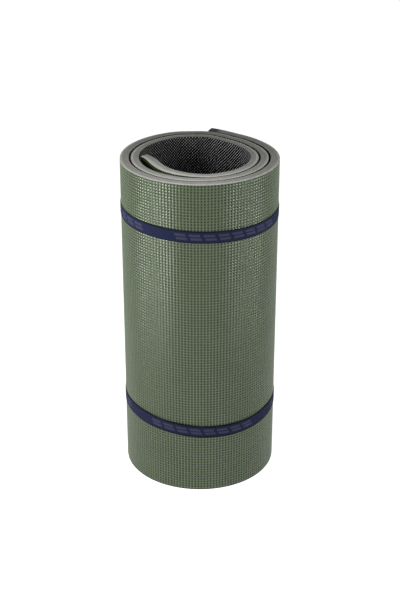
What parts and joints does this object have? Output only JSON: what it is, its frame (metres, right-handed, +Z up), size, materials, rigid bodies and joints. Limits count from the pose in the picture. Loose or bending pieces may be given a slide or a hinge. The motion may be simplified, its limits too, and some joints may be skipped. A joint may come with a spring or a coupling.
{
  "type": "rolled foam camping mat",
  "caption": "Thick two-layer foam camping mat with a waffle-embossed face, rolled up and standing on end, held by two sewn elastic bands that slide along the roll.",
  "frame": {"origin": "on the floor under the middle of the part's outline", "axes": "+Z up along the roll, which stands on its end; the sheet's outer end is at the back, towards +Y; +X to the right seen from the front"},
  "size_m": [0.2837, 0.2965, 0.6],
  "materials": {
    "green_foam": "soft embossed closed-cell polyethylene foam, olive green",
    "grey_foam": "closed-cell polyethylene foam, dark grey skin and paler grey cut edge",
    "navy_webbing": "woven elastic webbing, navy with a paler woven pattern",
    "raw_rubber": "natural rubber strands",
    "navy_thread": "spun polyester sewing thread"
  },
  "bodies": {
    "mat": {"mat_green_layer": "green_foam", "mat_grey_layer": "grey_foam"},
    "upper_band": {"upper_band_webbing": "navy_webbing", "upper_band_rubber_threads": "raw_rubber", "upper_band_stitching": "navy_thread"},
    "lower_band": {"lower_band_webbing": "navy_webbing", "lower_band_rubber_threads": "raw_rubber", "lower_band_stitching": "navy_thread"}
  },
  "joints": [
    {"name": "upper_band_slide", "type": "slide", "parent": "mat", "child": "upper_band", "axis": [0, 0, 1], "range_m": [-0.177, 0.12]},
    {"name": "lower_band_slide", "type": "slide", "parent": "mat", "child": "lower_band", "axis": [0, 0, 1], "range_m": [-0.108, 0.173]}
  ]
}
